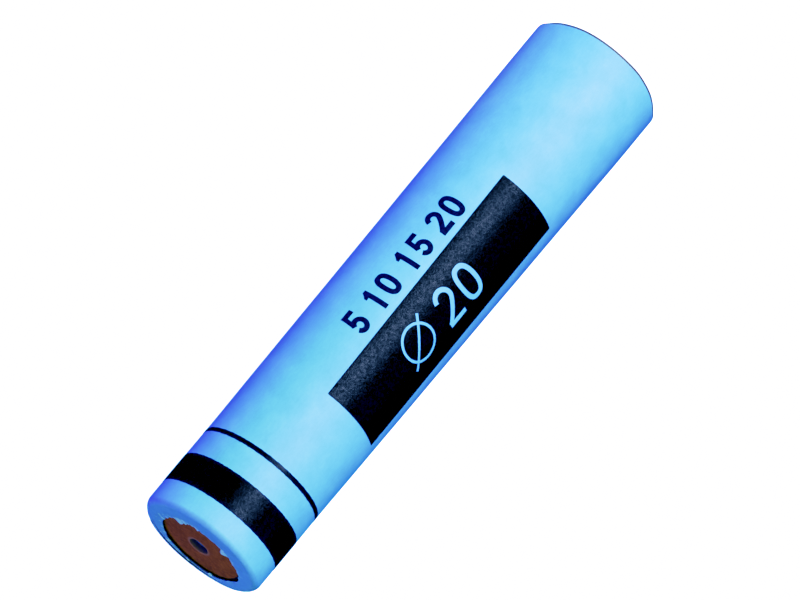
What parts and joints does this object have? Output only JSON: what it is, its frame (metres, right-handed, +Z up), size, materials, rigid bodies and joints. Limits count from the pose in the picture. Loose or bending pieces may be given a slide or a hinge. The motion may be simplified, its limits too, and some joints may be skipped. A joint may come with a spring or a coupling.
{
  "type": "coin tube",
  "caption": "Round paper coin sleeve with a rolled base rim over a vented board disc, an open mouth, and a plain printed panel, band and line.",
  "frame": {"origin": "bottom centre of the sleeve's bounding box as it lies on its side; the sleeve's axis is 11.1 mm above it", "axes": "+X along the sleeve's axis from the rolled base towards the open mouth, +Z up, +Y to the left seen from the base; the printed panel faces -Y and up"},
  "size_m": [0.0989, 0.0222, 0.0222],
  "materials": {
    "sleeve_paper": "smooth dyed paper, satin",
    "sleeve_paper_inside": "dyed paper, matte",
    "board": "brown grey-board, matte",
    "ink": "dark printing ink, satin",
    "glue": "dry paper glue, matte"
  },
  "bodies": {
    "sleeve": {"outer_turn": "sleeve_paper", "inner_turn": "sleeve_paper_inside", "rolled_rim": "sleeve_paper", "seam_glue": "glue", "seam_flap": "sleeve_paper", "printed_panel": "ink", "printed_numerals": "ink", "printed_wide_band": "ink", "printed_thin_band": "ink"},
    "base_disc": {"base_disc": "board"}
  },
  "joints": [
    {"name": "base_disc_slide", "type": "slide", "parent": "sleeve", "child": "base_disc", "axis": [1, 0, 0], "range_m": [0, 0.095]}
  ]
}
